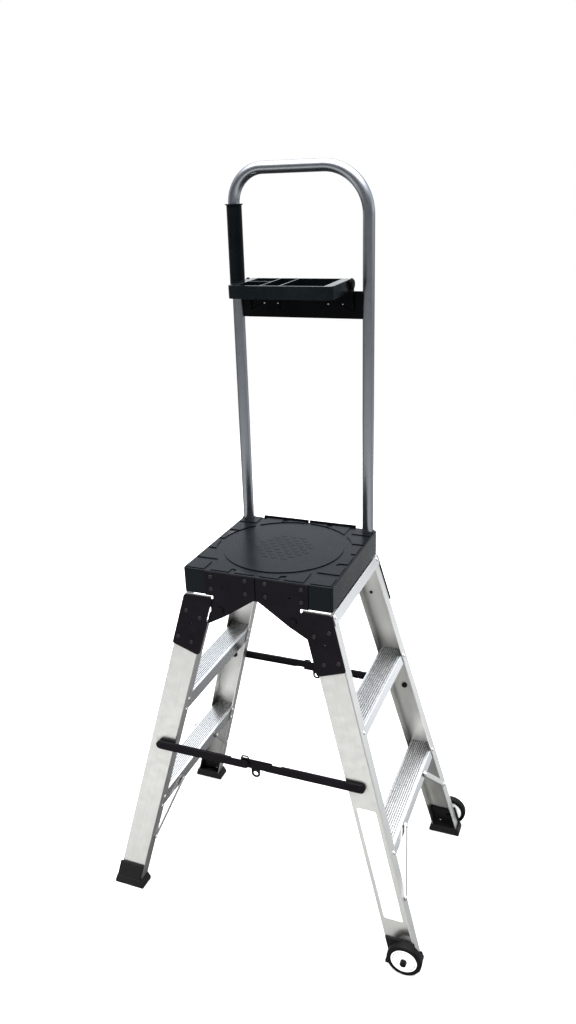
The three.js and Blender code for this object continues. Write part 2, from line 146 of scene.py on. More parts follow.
def surface(name, build, metallic=0.0, specular=0.5, **fixed):
    """A material whose build function returns sockets or values for the shader's inputs."""
    material = bpy.data.materials.new(name)
    material.use_nodes = True
    tree = material.node_tree
    shader = tree.nodes["Principled BSDF"]
    shader.inputs["Metallic"].default_value = metallic
    shader.inputs["Specular IOR Level"].default_value = specular
    for socket, value in fixed.items():
        shader.inputs[socket.replace("_", " ")].default_value = value
    where = tree.nodes.new("ShaderNodeTexCoord").outputs["Object"]
    for socket, value in build(tree, where).items():
        if isinstance(value, bpy.types.NodeSocket):
            tree.links.new(value, shader.inputs[socket])
        else:
            shader.inputs[socket].default_value = value
    return material


def stretched(tree, where, scale):
    """Coordinates stretched so that noise drawn on them runs as streaks."""
    return node(tree, "ShaderNodeVectorMath", {0: where, 1: scale}, operation="MULTIPLY").outputs[0]


def along_stiles(tree, where, across, along):
    """Coordinates that follow the four leaning stiles: streaks run down each of them."""
    axes = node(tree, "ShaderNodeSeparateXYZ", {"Vector": where}).outputs
    flat_x = math_node(tree, "MULTIPLY_ADD", axes["Z"], LEAN_X)
    tree.links.new(math_node(tree, "ABSOLUTE", axes["X"]), flat_x.node.inputs[2])
    flat_y = math_node(tree, "MULTIPLY_ADD", axes["Z"], LEAN_Y)
    tree.links.new(math_node(tree, "ABSOLUTE", axes["Y"]), flat_y.node.inputs[2])
    joined = node(tree, "ShaderNodeCombineXYZ", {"X": flat_x, "Y": flat_y, "Z": axes["Z"]})
    return stretched(tree, joined.outputs[0], (across, across, along))


SHADE_REACH = 55 * MM  # how far out of its inner corners a profile gets painted shade


def aluminium(name, coordinates, light, rough=(0.30, 0.42), painted_corner_shade=False, **fixed):
    """Bare extruded aluminium: drawing lines, a soft mottle and a few handling scuffs, and where
    asked, painted shade darkening it near its inner corners.
    """

    def build(tree, where):
        lines = noise(tree, coordinates(tree, where), 1.0, 4.0, 0.6)
        mottle = noise(tree, where, 9.0, 3.0, 0.55)
        scuffs = noise(tree, stretched(tree, where, (60, 60, 60)), 1.0, 6.0, 0.7)
        dark = tuple(0.93 * c for c in light)
        colour = ramp(tree, lines, dark, light, (0.28, 0.66))
        colour = mixed(tree, ramp(tree, mottle, 0.0, 0.3), colour, tuple(0.94 * c for c in light))
        if painted_corner_shade:
            # painted shade: an ambient occlusion node turns the colour dark near inner corners and
            # between the flanges, standing in for the shade there
            clear = node(tree, "ShaderNodeAmbientOcclusion", {"Distance": SHADE_REACH}, samples=16)
            film = ramp(tree, clear.outputs["AO"], 0.85, 0.0, (0.35, 0.92))
            colour = mixed(tree, film, colour, tuple(0.22 * c for c in light))
        roughness = ramp(tree, scuffs, rough[0], rough[1], (0.35, 0.75))
        return {
            "Base Color": colour,
            "Roughness": roughness,
            "Normal": bump(tree, lines, 0.01 * MM, 0.3),
        }

    return surface(name, build, metallic=1.0, **fixed)


def powder_coat(name, tone, specular):
    """Black powder coat: orange-peel grain and softly uneven gloss, with dull patches."""

    def build(tree, where):
        grain = noise(tree, where, 1900.0, 2.0)
        patches = noise(tree, where, 26.0, 4.0, 0.6)
        dust = noise(tree, where, 190.0, 5.0, 0.7)
        colour = ramp(tree, patches, tone, tuple(1.7 * c for c in tone))
        dusty = tuple(4.0 * c for c in tone)
        colour = mixed(tree, ramp(tree, dust, 0.0, 0.5, (0.6, 0.85)), colour, dusty)
        return {
            "Base Color": colour,
            "Roughness": ramp(tree, patches, 0.33, 0.5),
            "Normal": bump(tree, grain, 0.05 * MM, 0.6),
        }

    return surface(name, build, specular=specular)


def moulded(name, tone, grain_scale, rough, specular, tint=(1.0, 1.0, 1.0)):
    """Moulded plastic or rubber: fine texture, dull patches and paler scuffed streaks."""

    def build(tree, where):
        grain = noise(tree, where, grain_scale, 4.0, 0.6)
        patches = noise(tree, where, 14.0, 5.0, 0.62)
        streaks = noise(tree, stretched(tree, where, (30, 90, 60)), 1.0, 6.0, 0.7)
        colour = ramp(tree, patches, tone, tuple(1.6 * c for c in tone))
        scuffed = tuple(3.0 * c for c in tone)
        colour = mixed(tree, ramp(tree, streaks, 0.0, 0.5, (0.56, 0.8)), colour, scuffed)
        return {
            "Base Color": colour,
            "Roughness": ramp(tree, patches, rough[0], rough[1]),
            "Normal": bump(tree, grain, 0.06 * MM, 0.5),
        }

    return surface(name, build, specular=specular, Specular_Tint=(*tint, 1.0))


# the stiles' colour carries painted shade near their inner corners
STILE_METAL = aluminium(
    "stile aluminium", lambda t, w: along_stiles(t, w, 420, 5), (0.88, 0.88, 0.855), painted_corner_shade=True
)
TREAD_METAL = aluminium(
    "tread aluminium",
    lambda t, w: stretched(t, w, (260, 5, 260)),
    (0.88, 0.885, 0.89),
    (0.26, 0.29),
)
# painted shade: the valleys between the treads' ribs are bare aluminium, coloured dark to stand for
# the shade in them
GROOVE_SHADE_METAL = aluminium(
    "tread grooves", lambda t, w: stretched(t, w, (260, 5, 260)), (0.2, 0.2, 0.205), (0.35, 0.4)
)
TUBE_METAL = aluminium(
    "tube aluminium",
    lambda t, w: stretched(t, w, (90, 90, 4)),
    (0.36, 0.38, 0.41),
    (0.27, 0.34),
    Specular_Tint=(0.35, 0.36, 0.38, 1.0),
)
RIVET_METAL = aluminium(
    "rivet aluminium", lambda t, w: stretched(t, w, (300, 300, 300)), (0.8, 0.8, 0.8), (0.2, 0.3)
)
BLACK_STEEL = powder_coat("black powder coat", (0.0028, 0.0023, 0.0032), 0.06)
FITTING_STEEL = powder_coat("black rail fittings", (0.0009, 0.0010, 0.0012), 0.04)
BLACK_RIVET = powder_coat("black rivet paint", (0.0050, 0.0044, 0.0056), 0.3)
DECK_PLASTIC = moulded(
    "deck moulding", (0.0010, 0.0016, 0.0024), 1700.0, (0.2, 0.32), 0.12, (0.82, 0.94, 1.0)
)
TRAY_PLASTIC = moulded(
    "tray moulding", (0.0020, 0.0030, 0.0036), 2200.0, (0.17, 0.26), 0.12, (0.9, 0.98, 1.0)
)
RUBBER = moulded("boot rubber", (0.0042, 0.0043, 0.0045), 1300.0, (0.38, 0.55), 0.12)
GRIP_RUBBER = moulded(
    "grip rubber", (0.0014, 0.0021, 0.0028), 2400.0, (0.36, 0.5), 0.06, (0.88, 0.95, 1.0)
)
TYRE_RUBBER = moulded("tyre rubber", (0.0026, 0.0026, 0.0029), 900.0, (0.3, 0.45), 0.08)


def white_moulding(name, low, high):
    """Smooth moulded plastic between two tones: pale ones, or dark ones for painted shade in a
    groove.
    """

    def build(tree, where):
        patches = noise(tree, where, 60.0, 4.0)
        return {
            "Base Color": ramp(tree, patches, low, high),
            "Roughness": ramp(tree, patches, 0.22, 0.34),
            "Normal": bump(tree, noise(tree, where, 1500.0), 0.02 * MM, 0.3),
        }

    return surface(name, build, specular=0.5)


WHITE_PLASTIC = white_moulding("wheel disc plastic", (0.84, 0.84, 0.825), (0.92, 0.92, 0.91))
# painted shade: a dark copy of the disc's white plastic, standing in for the shadow inside the disc's
# ring groove
GROOVE_SHADE_PLASTIC = white_moulding("disc groove painted shade", (0.03, 0.03, 0.03), (0.08, 0.08, 0.08))

# ---- mesh helpers ----
AXES = {
    "x": Matrix(((0, 0, 1), (1, 0, 0), (0, 1, 0))),
    "y": Matrix(((1, 0, 0), (0, 0, 1), (0, 1, 0))),
    "z": Matrix.Identity(3),
}


def flat_faced(made):
    """Shades large flat faces flat, and lets only their rounded edges turn the light."""
    weighted = made.modifiers.new("normals", "WEIGHTED_NORMAL")
    weighted.mode = "FACE_AREA"
    weighted.weight = 100
    weighted.keep_sharp = True


SHARP_DEGREES = 32  # edges bent more than this are shaded as creases


def piece(name, bm, material, body, replaces=()):
    """Makes a mesh object of a bmesh, shades it and lets it ride on a body."""
    bmesh.ops.recalc_face_normals(bm, faces=bm.faces)
    mesh = bpy.data.meshes.new(name)
    bm.to_mesh(mesh)
    bm.free()
    mesh.materials.append(material)
    mesh.shade_smooth()
    mesh.set_sharp_from_angle(angle=math.radians(SHARP_DEGREES))
    made = bpy.data.objects.new(name, mesh)
    bpy.context.scene.collection.objects.link(made)
    flat_faced(made)
    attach(made, body)
    if replaces:
        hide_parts(*replaces)
    return made


def skin(bm, loops, closed_profile=False, caps=True):
    """Joins loops of points, each the same length, into a tube; caps close its two ends."""
    rings = [[bm.verts.new(p) for p in loop] for loop in loops]
    pairs = list(zip(rings, rings[1:]))
    if closed_profile:
        pairs.append((rings[-1], rings[0]))
    for a, b in pairs:
        for i in range(len(a)):
            j = (i + 1) % len(a)
            bm.faces.new((a[i], a[j], b[j], b[i]))
    if caps and not closed_profile:
        bm.faces.new(list(reversed(rings[0])))
        bm.faces.new(rings[-1])
    return rings


def arc(a, b, radius, start, end, steps):
    """Points on an arc round (a, b), angles in degrees."""
    turns = [math.radians(start + (end - start) * i / steps) for i in range(steps + 1)]
    return [(a + radius * math.cos(t), b + radius * math.sin(t)) for t in turns]


def rounded_rectangle(half_a, half_b, radius, steps):
    """Points round a rectangle about the origin, its corners rounded."""
    a, b = half_a - radius, half_b - radius
    points = []
    for sa, sb, start in ((1, -1, -90), (1, 1, 0), (-1, 1, 90), (-1, -1, 180)):
        points += arc(sa * a, sb * b, radius, start, start + 90, steps)
    return points


def prism(bm, outline, axis, lo, hi, edge=0.0, segments=2):
    """A flat outline given thickness along an axis, its rims rounded by edge."""
    turn = AXES[axis]
    loops = [[turn @ Vector((a, b, at)) for a, b in outline] for at in (lo, hi)]
    rings = skin(bm, loops)
    if edge:
        rims = dict.fromkeys(e for v in rings[0] + rings[1] for e in v.link_edges)
        flat = [e for e in rims if len({v in rings[0] for v in e.verts}) == 1]
        bmesh.ops.bevel(
            bm, geom=flat, offset=edge, segments=segments, profile=0.5, affect="EDGES"
        )


def sort_faces(bm):
    """Puts faces in the order of their corners, as many bevels leave them in a varying order."""
    bm.verts.index_update()
    by_corners = sorted(bm.faces, key=lambda face: sorted(v.index for v in face.verts))
    place = {face: i for i, face in enumerate(by_corners)}
    bm.faces.sort(key=place.get)


def lathe(bm, profile, axis, centre, sides=64, loop=False):
    """Turns a profile of (radius, place along the axis) points about an axis."""
    turn = AXES[axis]
    middle = Vector(centre)
    loops = []
    for radius, at in profile:
        ring = []
        for k in range(sides):
            t = 2 * math.pi * k / sides
            ring.append(middle + turn @ Vector((radius * math.cos(t), radius * math.sin(t), at)))
        loops.append(ring)
    skin(bm, loops, closed_profile=loop)


def rivet(bm, at, normal, radius, height, sides=20):
    """A rivet head on a surface point: a rounded rim round a shallow dimple."""
    up = Vector(normal).normalized()
    turn = up.to_track_quat("Z", "Y").to_matrix()
    profile = [(radius, -0.4 * MM)]
    shape = ((1, 0.3), (0.97, 0.55), (0.88, 0.82), (0.74, 0.97), (0.6, 1), (0.46, 0.95),
             (0.38, 0.7), (0.33, 0.42), (0.22, 0.34), (0.05, 0.33))
    profile += [(radius * across, height * up) for across, up in shape]
    loops = []
    for r, h in profile:
        ring = []
        for k in range(sides):
            t = 2 * math.pi * k / sides
            ring.append(Vector(at) + turn @ Vector((r * math.cos(t), r * math.sin(t), h)))
        loops.append(ring)
    skin(bm, loops)


# ---- carried-over CAD nodes: rounded edges and a finish ----
def dress(name, material, edge):
    """Gives a CAD node its finish, and softens its edges without touching its mesh."""
    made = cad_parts[name]
    made.data.materials.clear()
    made.data.materials.append(material)
    weld = made.modifiers.new("weld", "WELD")
    weld.merge_threshold = 0.005 * MM
    flat = made.modifiers.new("flat faces", "DECIMATE")
    flat.decimate_type = "DISSOLVE"
    flat.angle_limit = math.radians(1)
    soft = made.modifiers.new("edges", "BEVEL")
    soft.width = edge
    soft.segments = 2
    soft.limit_method = "ANGLE"
    soft.angle_limit = math.radians(28)
    flat_faced(made)


def dress_all():
    for sx, sy in CORNERS:
        corner = END_NAME[sy] + "_" + SIDE_NAME[sx]
        for part in ("gusset_plate_", "fold_bolt_", "stile_cap_"):
            dress(part + corner, BLACK_STEEL, 0.5 * MM)
        dress("stile_" + corner, STILE_METAL, 0.4 * MM)
        dress("foot_" + corner, RUBBER, 1.2 * MM)
        dress("brace_outer_" + corner, STILE_METAL, 0.5 * MM)
        dress("brace_inner_" + corner, STILE_METAL, 0.5 * MM)
        dress("spreader_bar_" + corner, BLACK_STEEL, 0.5 * MM)
    for sx in (1, -1):
        dress("top_rail_" + SIDE_NAME[sx], TREAD_METAL, 0.5 * MM)
        dress("tray_bracket_" + SIDE_NAME[sx], FITTING_STEEL, 0.5 * MM)
    for sy in (-1, 1):
        dress("wheel_axle_" + END_NAME[sy], BLACK_STEEL, 0.5 * MM)
        dress("spreader_plate_" + END_NAME[sy], BLACK_STEEL, 0.5 * MM)
    dress("handrail_crossbar", FITTING_STEEL, 0.5 * MM)
    dress("tool_tray", TRAY_PLASTIC, 1.0 * MM)


dress_all()

# ---- platform deck ----
TILE_PITCH = 56.5 * MM
TILE_GAP = 13.5 * MM
TILE_SHIFT = 2.5 * MM  # the rows at the sides sit a little towards the handrail
TILE_IN_R = 154 * MM  # the tiles' inner ends follow this circle
CORNER_TILE = 121 * MM  # where the corner tiles begin
RELIEF = 2.3 * MM  # height of the raised tiles and disc, with the lozenges on top of it
LOZENGE = 0.5 * MM  # height of the lozenges alone
LOZENGE_PITCH = (23 * MM, 15 * MM)
DISC_R = 135 * MM


def deck():
    """The moulded deck: a skirted shell, raised border tiles and a raised round field."""
    lo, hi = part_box("platform")
    half_x, half_y = hi.x, hi.y
    wall, under = 3.6 * MM, hi.z - 6 * MM
    floor = hi.z - RELIEF
    bm = bmesh.new()

    def outline(inset, radius, z):
        return [
            Vector((a, b, z))
            for a, b in rounded_rectangle(half_x - inset, half_y - inset, radius, 8)
        ]

    loops = [
        outline(wall, 4 * MM, under),
        outline(wall, 4 * MM, lo.z),
        outline(0.4 * MM, 6.6 * MM, lo.z),
        outline(0, 7 * MM, lo.z + 0.5 * MM),
    ]
    edge = 3 * MM
    for turn in range(0, 91, 15):
        t = math.radians(turn)
        inset = edge * (1 - math.cos(t))
        loops.append(outline(inset, 7 * MM - inset, floor - edge * (1 - math.sin(t))))
    skin(bm, loops)
    shell = bpy.data.meshes.new("platform_deck")
    bmesh.ops.recalc_face_normals(bm, faces=bm.faces)
    bm.to_mesh(shell)
    bm.free()
    made = bpy.data.objects.new("platform_deck", shell)
    bpy.context.scene.collection.objects.link(made)

    ribs = bmesh.new()
    for rib in underside_ribs(half_x - 1 * MM, half_y - 1 * MM):
        prism(ribs, rib, "z", lo.z + 18 * MM, under + 1 * MM)
    join(made, ribs)
    sockets = bmesh.new()
    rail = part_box("handrail")
    radius = (rail[1].y - rail[0].y) / 2
    posts = [(sx * (rail[1].x - radius), rail[1].y - radius) for sx in (1, -1)]
    for x, y in posts:
        ring = arc(x, y, radius + 4 * MM, 0, 350, 35)
        prism(sockets, ring, "z", lo.z + 2 * MM, hi.z - 0.1 * MM, 0.6 * MM)
    join(made, sockets)
    holes = bmesh.new()
    for x, y in posts:
        prism(holes, arc(x, y, radius + 0.8 * MM, 0, 350, 35), "z", lo.z - MM, hi.z + MM)
    join(made, holes, "DIFFERENCE")
    made.data.materials.append(DECK_PLASTIC)
    made.data.shade_smooth()
    made.data.set_sharp_from_angle(angle=math.radians(50))
    flat_faced(made)
    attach(made, TOP_BODY)
    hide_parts("platform")

    base, crest = floor - 1 * MM, hi.z - LOZENGE
    raised = bmesh.new()
    prism(raised, arc(0, 0, DISC_R, 0, 357, 119), "z", base, crest, 0.35 * MM)
    for tile in border_tiles(half_x - 4.5 * MM, half_y - 4.5 * MM):
        prism(raised, tile, "z", base, crest, 0.35 * MM)
    sort_faces(raised)
    piece("deck_tiles", raised, DECK_PLASTIC, TOP_BODY)
    field = bmesh.new()
    for lozenge in lozenges():
        prism(field, lozenge, "z", crest - 0.4 * MM, hi.z, 0.25 * MM, 1)
    piece("deck_lozenges", field, DECK_PLASTIC, TOP_BODY)


def join(target, bm, operation="UNION"):
    """Adds closed shapes to an object, or cuts them out of it, by a boolean."""
    bmesh.ops.recalc_face_normals(bm, faces=bm.faces)
    mesh = bpy.data.meshes.new("tool")
    bm.to_mesh(mesh)
    bm.free()
    tool = bpy.data.objects.new("tool", mesh)
    bpy.context.scene.collection.objects.link(tool)
    cut = target.modifiers.new("join", "BOOLEAN")
    cut.operation = operation
    cut.solver = "EXACT"
    cut.use_self = True
    cut.object = tool
    seen = bpy.context.evaluated_depsgraph_get()
    result = bpy.data.meshes.new_from_object(target.evaluated_get(seen))
    target.modifiers.clear()
    old = target.data
    target.data = result
    bpy.data.meshes.remove(old)
    bpy.data.objects.remove(tool)
    bpy.data.meshes.remove(mesh)


def clipped(polygon, centre, radius):
    """The part of a convex polygon outside a circle, walked finely along its edge."""
    points = []
    steps = 24
    for (ax, ay), (bx, by) in zip(polygon, polygon[1:] + polygon[:1]):
        for i in range(steps):
            t = i / steps
            points.append((ax + (bx - ax) * t, ay + (by - ay) * t))
    pushed = []
    for x, y in points:
        dx, dy = x - centre[0], y - centre[1]
        away = math.hypot(dx, dy)
        if away < radius:
            x, y = centre[0] + dx * radius / away, centre[1] + dy * radius / away
        pushed.append((x, y))
    return pushed


def border_tiles(half_x, half_y):
    """Outlines of the raised tiles between the deck's edge and the round field."""
    side = (TILE_PITCH - TILE_GAP) / 2
    middles = [TILE_PITCH * k for k in (-1.5, -0.5, 0.5, 1.5)]
    tiles = []

    def add(x0, x1, y0, y1):
        tiles.append([(x0, y0), (x1, y0), (x1, y1), (x0, y1)])

    for s in (-1, 1):
        for m in middles:
            add(m - side, m + side, *sorted((s * half_y, s * 0.7 * half_y)))
            y = m + TILE_SHIFT
            add(*sorted((s * half_x, s * 0.7 * half_x)), y - side, y + side)
        for t in (-1, 1):
            y0, y1 = sorted((t * half_y, t * CORNER_TILE))
            add(*sorted((s * half_x, s * CORNER_TILE)), y0, y1)
    return [simple(clipped(tile, (0, 0), TILE_IN_R)) for tile in tiles]


def lozenges():
    """Outlines of the anti-slip lozenges in the middle of the round field."""
    step_x, step_y = LOZENGE_PITCH
    half_a, half_b = 0.36 * step_x, 0.3 * step_y
    outlines = []
    for row in range(-4, 5):
        for column in range(-3, 4):
            x = (column + 0.5 * (row % 2)) * step_x
            y = row * step_y
            if math.hypot(x, y) < 68 * MM:
                outlines.append([(x - half_a, y), (x, y - half_b), (x + half_a, y), (x, y + half_b)])
    return outlines


def simple(points):
    """Drops points that lie on a straight line between their neighbours, or on one."""
    kept = []
    for i, p in enumerate(points):
        a, b = Vector(points[i - 1]), Vector(points[(i + 1) % len(points)])
        here = Vector(p)
        if (here - a).length < 0.2 * MM:
            continue
        if abs((here - a).cross(b - here)) > 1e-9:
            kept.append(p)
    return kept


def underside_ribs(half_x, half_y):
    ribs = []
    for at in (-84 * MM, 0, 84 * MM):
        w = 1.5 * MM
        ribs.append([(at - w, -half_y), (at + w, -half_y), (at + w, half_y), (at - w, half_y)])
        ribs.append([(-half_x, at - w), (half_x, at - w), (half_x, at + w), (-half_x, at + w)])
    return ribs


deck()

# ---- treads ----
def treads():
    """Extruded treads: fine anti-slip ribs, a rounded nose and a skirt on either side."""
    h, sheet, rib = 29.2 * MM, 2.2 * MM, 1.2 * MM
    ribs, pitch = 10, 5.0 * MM
    for level in ("lower", "upper"):
        for sx in (1, -1):
            cad = "tread_" + level + "_" + SIDE_NAME[sx]
            lo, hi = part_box(cad)
            top = hi.z
            x0 = stile_x(top)
            outline = [(-h, top - 46 * MM)]
            outline += arc(-h + 2 * MM, top - rib - 2 * MM, 2 * MM, 180, 90, 5)
            for i in range(ribs):
                x = (i - (ribs - 1) / 2) * pitch
                for across, down in ((-1.6, 1), (-1.4, 0.2), (-1, 0), (1, 0), (1.4, 0.2), (1.6, 1)):
                    outline.append((x + across * MM, top - down * rib))
            outline += arc(h - 3 * MM, top - rib - 3 * MM, 3 * MM, 90, 0, 6)
            outline += [(h, top - 22 * MM), (h - sheet, top - 22 * MM)]
            outline += [(h - sheet, top - rib - sheet), (-h + sheet, top - rib - sheet)]
            outline += [(-h + sheet, top - 46 * MM)]
            bm = bmesh.new()
            leaned = [(sx * (x0 + a + LEAN_X * (top - b)), b) for a, b in outline]
            prism(bm, leaned, "y", lo.y, hi.y)
            made = piece(
                cad + "_extrusion", bm, TREAD_METAL, LEG_BODY[sx], [cad]
            )
            made.data.materials.append(GROOVE_SHADE_METAL)
            for face in made.data.polygons:
                across = abs(sx * face.center.x - x0)
                # the valley faces between the ribs get the dark painted-shade aluminium
                if face.normal.z > 0.9 and face.center.z < top - 0.7 * rib:
                    face.material_index = 1 if across < 0.5 * ribs * pitch - 2 * MM else 0


treads()

# ---- handrail and grip ----
BEND_LEFT = 70 * MM
BEND_RIGHT = 98 * MM


def handrail():
    """One bent tube: an upside-down U whose left bend is tighter than its right."""
    lo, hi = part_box("handrail")
    radius = (hi.y - lo.y) / 2
    bore = radius - 1.5 * MM
    post, y, top = hi.x - radius, (lo.y + hi.y) / 2, hi.z - radius
    stations = [(-post, lo.z, 180.0)]
    for x, r, start, end in (
        (-post + BEND_LEFT, BEND_LEFT, 180, 90),
        (post - BEND_RIGHT, BEND_RIGHT, 90, 0),
    ):
        for i in range(25):
            turn = start + (end - start) * i / 24
            t = math.radians(turn)
            stations.append((x + r * math.cos(t), top - r + r * math.sin(t), turn))
    stations.append((post, lo.z, 0.0))

    def ring(x, z, turn, r):
        t = math.radians(turn)
        out = Vector((math.cos(t), 0, math.sin(t)))
        middle = Vector((x, y, z))
        sides = 48
        angles = [2 * math.pi * k / sides for k in range(sides)]
        return [middle + out * (r * math.cos(a)) + Vector((0, r * math.sin(a), 0)) for a in angles]

    bm = bmesh.new()
    outer = [ring(*s, radius) for s in stations]
    inner = [ring(*s, bore) for s in reversed(stations)]
    skin(bm, outer + inner, closed_profile=True)
    piece("handrail_tube", bm, TUBE_METAL, TOP_BODY, ["handrail"])


def grip():
    """A slipped-on rubber sleeve with a thin flange at each end."""
    lo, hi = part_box("handrail_grip")
    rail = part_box("handrail")
    radius = (rail[1].y - rail[0].y) / 2
    centre = ((lo.x + hi.x) / 2, (lo.y + hi.y) / 2, 0)
    flange, sleeve, bore = (hi.x - lo.x) / 2, 16.7 * MM, radius + 0.2 * MM
    lip = 2.6 * MM
    profile = [(bore, lo.z), (flange - 0.8 * MM, lo.z)]
    profile += arc(flange - 0.8 * MM, lo.z + 0.8 * MM, 0.8 * MM, -60, 60, 4)
    profile += [(sleeve + 0.8 * MM, lo.z + lip), (sleeve, lo.z + lip + 0.8 * MM)]
    profile += [(sleeve, hi.z - lip - 0.8 * MM), (sleeve + 0.8 * MM, hi.z - lip)]
    profile += arc(flange - 0.8 * MM, hi.z - 0.8 * MM, 0.8 * MM, -60, 60, 4)
    profile += [(flange - 0.8 * MM, hi.z), (bore, hi.z)]
    bm = bmesh.new()
    lathe(bm, profile, "z", centre, 64, loop=True)
    piece("handrail_grip_sleeve", bm, GRIP_RUBBER, TOP_BODY, ["handrail_grip"])


handrail()
grip()

# ---- wheels ----
def wheels():
    for sy in (-1, 1):
        end = END_NAME[sy]
        lo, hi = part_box("wheel_tyre_" + end)
        centre = Vector(((lo.x + hi.x) / 2, 0, (lo.z + hi.z) / 2))
        r = (hi.x - lo.x) / 2
        inner, outer = sorted((abs(lo.y), abs(hi.y)))
        hub = (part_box("wheel_disc_" + end)[1].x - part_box("wheel_disc_" + end)[0].x) / 2
        tread = 5.5 * MM
        profile = [(hub + 0.3 * MM, inner), (r - tread, inner)]
        profile += arc(r - tread, inner + tread, tread, -90, 0, 8)[1:]
        profile += arc(r - tread, outer - tread, tread, 0, 90, 8)
        profile += [(hub + 1.6 * MM, outer), (hub + 0.3 * MM, outer - 1.2 * MM)]
        bm = bmesh.new()
        lathe(bm, [(a, sy * b) for a, b in profile], "y", centre, 96, loop=True)
        piece("wheel_tyre_" + end + "_moulded", bm, TYRE_RUBBER, "wheel_" + end,
              ["wheel_tyre_" + end])
        wheel_disc(end, sy, centre, hub, inner, outer)


# Radii of the disc's ring groove at its mouth.
GROOVE_IN, GROOVE_OUT = 24.5 * MM, 26.3 * MM


def wheel_disc(end, sy, centre, hub, inner, outer):
    """A white disc with a beaded rim, a thin ring groove and a boss round the axle."""
    face, back = outer - 1.2 * MM, inner + 1.2 * MM
    bore = 5.1 * MM
    profile = [
        (bore, back), (hub - 0.6 * MM, back), (hub, back + 0.6 * MM),
        (hub, face - 0.9 * MM), (hub - 0.9 * MM, face), (GROOVE_OUT, face),
        (GROOVE_OUT - 0.1 * MM, face - 0.9 * MM), (GROOVE_IN + 0.2 * MM, face - 0.9 * MM),
        (GROOVE_IN, face),
        (11 * MM, face), (10 * MM, face), (bore, face),
    ]
    bm = bmesh.new()
    lathe(bm, [(a, sy * b) for a, b in profile], "y", centre, 96, loop=True)
    made = piece("wheel_disc_" + end + "_moulded", bm, WHITE_PLASTIC, "wheel_" + end,
                 ["wheel_disc_" + end])
    made.data.materials.append(GROOVE_SHADE_PLASTIC)
    # the sunk faces of the ring groove get the dark painted-shade plastic
    for side in made.data.polygons:
        reach = math.hypot(side.center.x - centre.x, side.center.z - centre.z)
        sunk = abs(side.center.y) < face - 0.3 * MM
        side.material_index = 1 if sunk and GROOVE_IN - 0.1 * MM < reach < GROOVE_OUT else 0


wheels()

# ---- rivets and screws ----
PLATE_RIVET = 4.9 * MM  # radius of the black heads on the plates and caps
FRAME_RIVET = 4.4 * MM  # radius of the bright heads on the frames


def rivets():
    """Domed rivet heads: black ones on the plates, bright ones on the frames."""
    top_black = bmesh.new()
    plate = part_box("gusset_plate_front_right")
    for sx, sy in CORNERS:
        for x, z in ((23, 856.5), (23, 826), (103.5, 855), (103.5, 826)):
            rivet(top_black, (sx * x * MM, sy * -plate[0].y, z * MM), (0, sy, 0), PLATE_RIVET, 2 * MM)
    piece("gusset_rivets", top_black, BLACK_RIVET, TOP_BODY)

    screws = bmesh.new()
    for x in (-86, -53.5, 63.5, 96):
        at = (x * MM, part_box("handrail_crossbar")[0].y - 2.6 * MM, 1389 * MM)
        rivet(screws, at, (0, -1, 0), 1.8 * MM, 1 * MM)
    piece("bracket_screws", screws, RIVET_METAL, TOP_BODY)

    for sx in (1, -1):
        black, bright = bmesh.new(), bmesh.new()
        for sy in (-1, 1):
            leg_rivets(black, bright, sx, sy)
        side = SIDE_NAME[sx]
        piece("cap_rivets_" + side, black, BLACK_RIVET, LEG_BODY[sx])
        piece("frame_rivets_" + side, bright, RIVET_METAL, LEG_BODY[sx])


def leg_rivets(black, bright, sx, sy):
    """The rivets at one stile: cap, treads, top rail, braces and boot."""
    web_out = (0, sy, LEAN_Y)
    web_in = (0, -sy, -LEAN_Y)
    for x, z in ((132.2, 754.9), (165.1, 768.1), (155, 695), (187, 703)):
        y = web_y(z * MM) + 3.1 * MM
        rivet(black, (sx * x * MM, sy * y, z * MM), web_out, PLATE_RIVET, 1.9 * MM)
    for x, z, r in ((154, 699.5, 4.2), (183, 705.5, 2.6), (163, 770, 3.2)):
        inside = web_y(z * MM) - STILE_WALL
        rivet(black, (sx * x * MM, sy * inside, z * MM), web_in, r * MM, 1.2 * MM)
    outwards, inwards = (sx, 0, LEAN_X), (-sx, 0, -LEAN_X)
    for top in (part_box("tread_upper_right")[1].z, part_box("tread_lower_right")[1].z):
        z = top - 5.5 * MM
        at = (sx * (stile_x(z) + STILE_HALF), sy * (web_y(z) - 20 * MM), z)
        rivet(bright, at, outwards, FRAME_RIVET, 1.9 * MM)
        for z in (top - 10 * MM, top - 38 * MM):
            at = (sx * (stile_x(z) - STILE_HALF), sy * (web_y(z) - 20 * MM), z)
            rivet(bright, at, inwards, FRAME_RIVET, 1.9 * MM)
    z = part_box("top_rail_right")[1].z - 8 * MM
    at = (sx * (stile_x(z) + STILE_HALF + 2.8 * MM), sy * 155 * MM, z)
    rivet(bright, at, outwards, FRAME_RIVET, 1.9 * MM)
    for face, normal, spots in (
        (STILE_HALF + 3.3 * MM, outwards, ((97, 262), (203, 160))),
        (-STILE_HALF - 3.3 * MM, inwards, ((96, 242), (203.5, 141))),
    ):
        for y, z in spots:
            at = (sx * (stile_x(z * MM) + face), sy * y * MM, z * MM)
            rivet(bright, at, normal, FRAME_RIVET, 1.9 * MM)
    for offset, z, sink, where in (
        (-14, 47.5, STILE_WALL, black),
        (15, 49.5, STILE_WALL, bright),
        (-15, 18, 6.3 * MM, bright),
    ):
        z *= MM
        at = (sx * (stile_x(z) + offset * MM), sy * (web_y(z) - sink), z)
        rivet(where, at, web_in, 3.2 * MM, 1.4 * MM)


rivets()

# ---- generic label on the front right stile ----
LABEL_TOP, LABEL_BOTTOM, LABEL_HALF = 372 * MM, 112 * MM, 21 * MM


